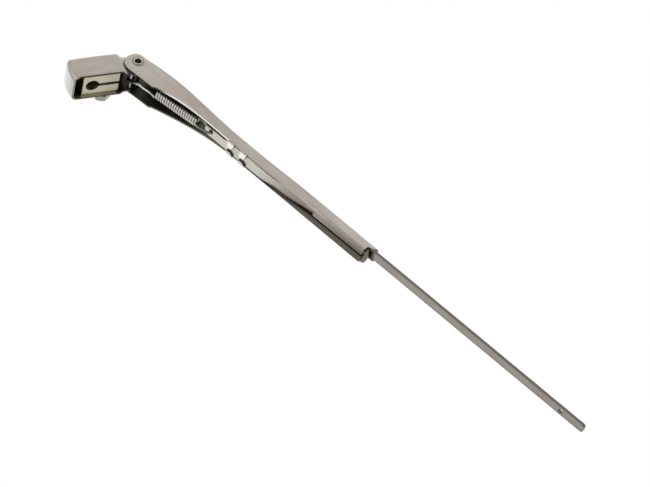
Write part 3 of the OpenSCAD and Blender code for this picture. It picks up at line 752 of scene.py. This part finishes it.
# The pin's middle, along and out from the hinge as the arm lies in the picture
pin = Vector((-HOOK_BACK * math.cos(FOLD) + HOOK_DOWN * math.sin(FOLD), 0,
              -HOOK_BACK * math.sin(FOLD) - HOOK_DOWN * math.cos(FOLD)))
hook_radius = (HOOK_PIN + WIRE) / 2 + HOOK_PLAY
coil_radius = (COIL_OUTSIDE - WIRE) / 2
axis = (COIL_TO - COIL_FROM).normalized()
up = Vector((-axis.z, 0, axis.x))


def hook_point(degrees):
    """A place on the hook, at an angle round the pin."""
    angle = math.radians(degrees)
    return pin + hook_radius * Vector((math.cos(angle), 0, math.sin(angle)))


def coil_point(turn_count):
    """A place on the coil, so many turns from its start."""
    angle = 2 * math.pi * turn_count
    return (COIL_FROM.lerp(COIL_TO, turn_count / TURNS)
            + coil_radius * (-math.cos(angle) * up + math.sin(angle) * ACROSS))


def shank_point(share):
    """A place on the straight shank, from the pin's middle to the underside of the coil."""
    return pin.lerp(coil_point(0), share)


def tail_point(along, out):
    """A place beside the strip's hole, along the arm and outwards, in wire diameters."""
    return STRIP_HOLE + Vector((along * WIRE, 0, out * WIRE))


def wire_path():
    """The middle of the wire from the hook's end to the tail's end."""
    hook = [hook_point(angle) for angle in HOOK_ANGLES]
    shank = smooth([hook_point(HOOK_ANGLES[-1]), hook_point(HOOK_ANGLES[-1] + 25), shank_point(0.3),
                    shank_point(0.55), shank_point(0.85), coil_point(0.1), coil_point(0.2)],
                   STEPS_A_BEND)
    coil = [coil_point(0.1 + i / STEPS_A_TURN) for i in range(int((TURNS - 0.2) * STEPS_A_TURN))]
    tail = smooth([coil[-1], coil_point(TURNS), tail_point(-5.4, -2.2), tail_point(-2.7, -1.7),
                   tail_point(-0.6, -1.1), tail_point(0, 0.2), tail_point(-0.4, 1.5),
                   tail_point(-2.1, 1.9), tail_point(-3.6, 1.7)], STEPS_A_BEND)
    return [in_arm(p) for p in hook + shank + coil + tail]


def wire_tree():
    """Geometry nodes that draw a round wire of a given radius along a path."""
    tree = bpy.data.node_groups.new("wire_along_path", "GeometryNodeTree")
    for name, kind in (("Path", "Geometry"), ("Wire radius", "Float"), ("Sides", "Int"),
                       ("Finish", "Material")):
        tree.interface.new_socket(name, in_out="INPUT", socket_type="NodeSocket" + kind)
    tree.interface.new_socket("Wire", in_out="OUTPUT", socket_type="NodeSocketGeometry")
    given = tree.nodes.new("NodeGroupInput")
    ring = tree.nodes.new("GeometryNodeCurvePrimitiveCircle")
    sweep = tree.nodes.new("GeometryNodeCurveToMesh")
    sweep.inputs["Fill Caps"].default_value = True
    real = tree.nodes.new("GeometryNodeRealizeInstances")
    finish = tree.nodes.new("GeometryNodeSetMaterial")
    result = tree.nodes.new("NodeGroupOutput")
    join = tree.links.new
    join(given.outputs["Sides"], ring.inputs["Resolution"])
    join(given.outputs["Wire radius"], ring.inputs["Radius"])
    join(given.outputs["Path"], sweep.inputs["Curve"])
    join(ring.outputs["Curve"], sweep.inputs["Profile Curve"])
    join(sweep.outputs["Mesh"], real.inputs["Geometry"])
    join(real.outputs["Geometry"], finish.inputs["Geometry"])
    join(given.outputs["Finish"], finish.inputs["Material"])
    join(finish.outputs["Geometry"], result.inputs["Wire"])
    return tree


def set_inputs(modifier, values):
    """Sets a modifier's named inputs by their sockets' identifiers."""
    for item in modifier.node_group.interface.items_tree:
        if item.item_type == "SOCKET" and item.in_out == "INPUT" and item.name in values:
            modifier[item.identifier] = values[item.name]


def plain_mesh(source, name):
    """The evaluated shape of source as a plain mesh object; source is then removed."""
    shape = source.evaluated_get(bpy.context.evaluated_depsgraph_get())
    made = bpy.data.objects.new(name, bpy.data.meshes.new_from_object(shape))
    made.data.name = name
    scene.collection.objects.link(made)
    bpy.data.objects.remove(source)
    return made


def wire(name, path, radius, sides, material):
    """A round wire along the path, as a smooth closed mesh."""
    curve = bpy.data.curves.new(name + "_path", "CURVE")
    curve.dimensions = "3D"
    line = curve.splines.new("POLY")
    line.points.add(len(path) - 1)
    for point, place in zip(line.points, path):
        point.co = (*place, 1)
    guide = bpy.data.objects.new(name + "_path", curve)
    scene.collection.objects.link(guide)
    modifier = guide.modifiers.new("wire", "NODES")
    modifier.node_group = wire_tree()
    set_inputs(modifier, {"Wire radius": radius, "Sides": sides, "Finish": material})
    made = plain_mesh(guide, name)
    made.data.polygons.foreach_set("use_smooth", [len(f.vertices) == 4 for f in made.data.polygons])
    return made


# Where the hook ends, the coil and the tail start, and the turns come near the wall, and how strong
# the painted shade on the turns and the darkening of the tail are
HOOK_END, COIL_START, TAIL_START, TURNS_BY_WALL = (4.0, 6.5), (12, 14), (40.6, 42.5), (-2.8, -1.9)
TURNS_SHADE, TAIL_DARK = 0.85, 0.75


def wire_finish(place, colour):
    """Painted shadow on the hook and on the turns' side by the near wall, and darker along the tail."""
    along, across, _ = arm_place(place)
    by_wall = across.fall(*TURNS_BY_WALL) * along.rise(*COIL_START) * TURNS_SHADE
    return (along.fall(*HOOK_END) + by_wall + along.rise(*TAIL_START) * TAIL_DARK).mix(colour, SHADE_DARK)


spring = wire("spring_wire", wire_path(), WIRE / 2 * MM, WIRE_SIDES,
              steel("spring_wire_steel", SPRING_WARM, SPRING_COOL, 0.28, grain=0.02, stain=0.04,
                    finish=wire_finish))
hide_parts("tension_spring")
tuple(in_arm((3.8, 0, -5.4)))
tuple(in_arm((9, 0, -4.9)))
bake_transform(spring)
